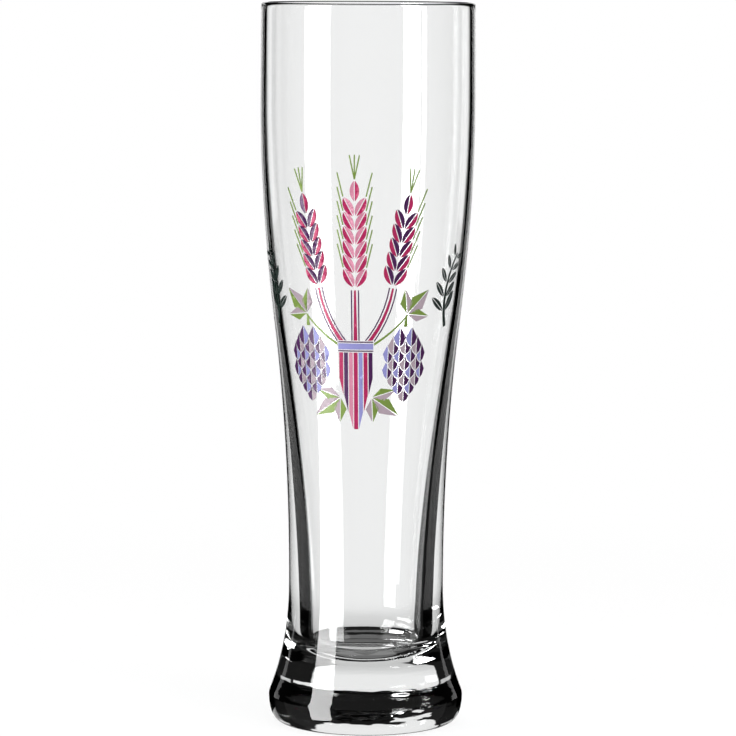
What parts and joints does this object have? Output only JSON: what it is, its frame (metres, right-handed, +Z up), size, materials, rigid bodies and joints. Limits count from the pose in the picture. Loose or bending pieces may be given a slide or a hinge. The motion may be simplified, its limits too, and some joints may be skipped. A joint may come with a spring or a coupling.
{
  "type": "beer glass",
  "caption": "Tall slender wheat-beer glass with a thick solid foot, a bowl that widens towards the mouth and a coloured enamel print on the front.",
  "frame": {"origin": "centre of the resting ring, on the table", "axes": "+Z up along the axis of the glass towards the mouth, -Y towards the printed front"},
  "size_m": [0.0759, 0.0758, 0.255],
  "materials": {
    "clear_glass": "polished",
    "enamel_magenta": "gloss",
    "enamel_plum": "gloss",
    "enamel_lilac": "gloss",
    "enamel_rose": "gloss",
    "enamel_mauve": "gloss",
    "enamel_green": "gloss",
    "enamel_ink": "gloss"
  },
  "bodies": {
    "root": {"glass": "clear_glass", "print_magenta": "enamel_magenta", "print_plum": "enamel_plum", "print_lilac": "enamel_lilac", "print_rose": "enamel_rose", "print_mauve": "enamel_mauve", "print_green": "enamel_green", "print_ink": "enamel_ink"}
  },
  "joints": []
}
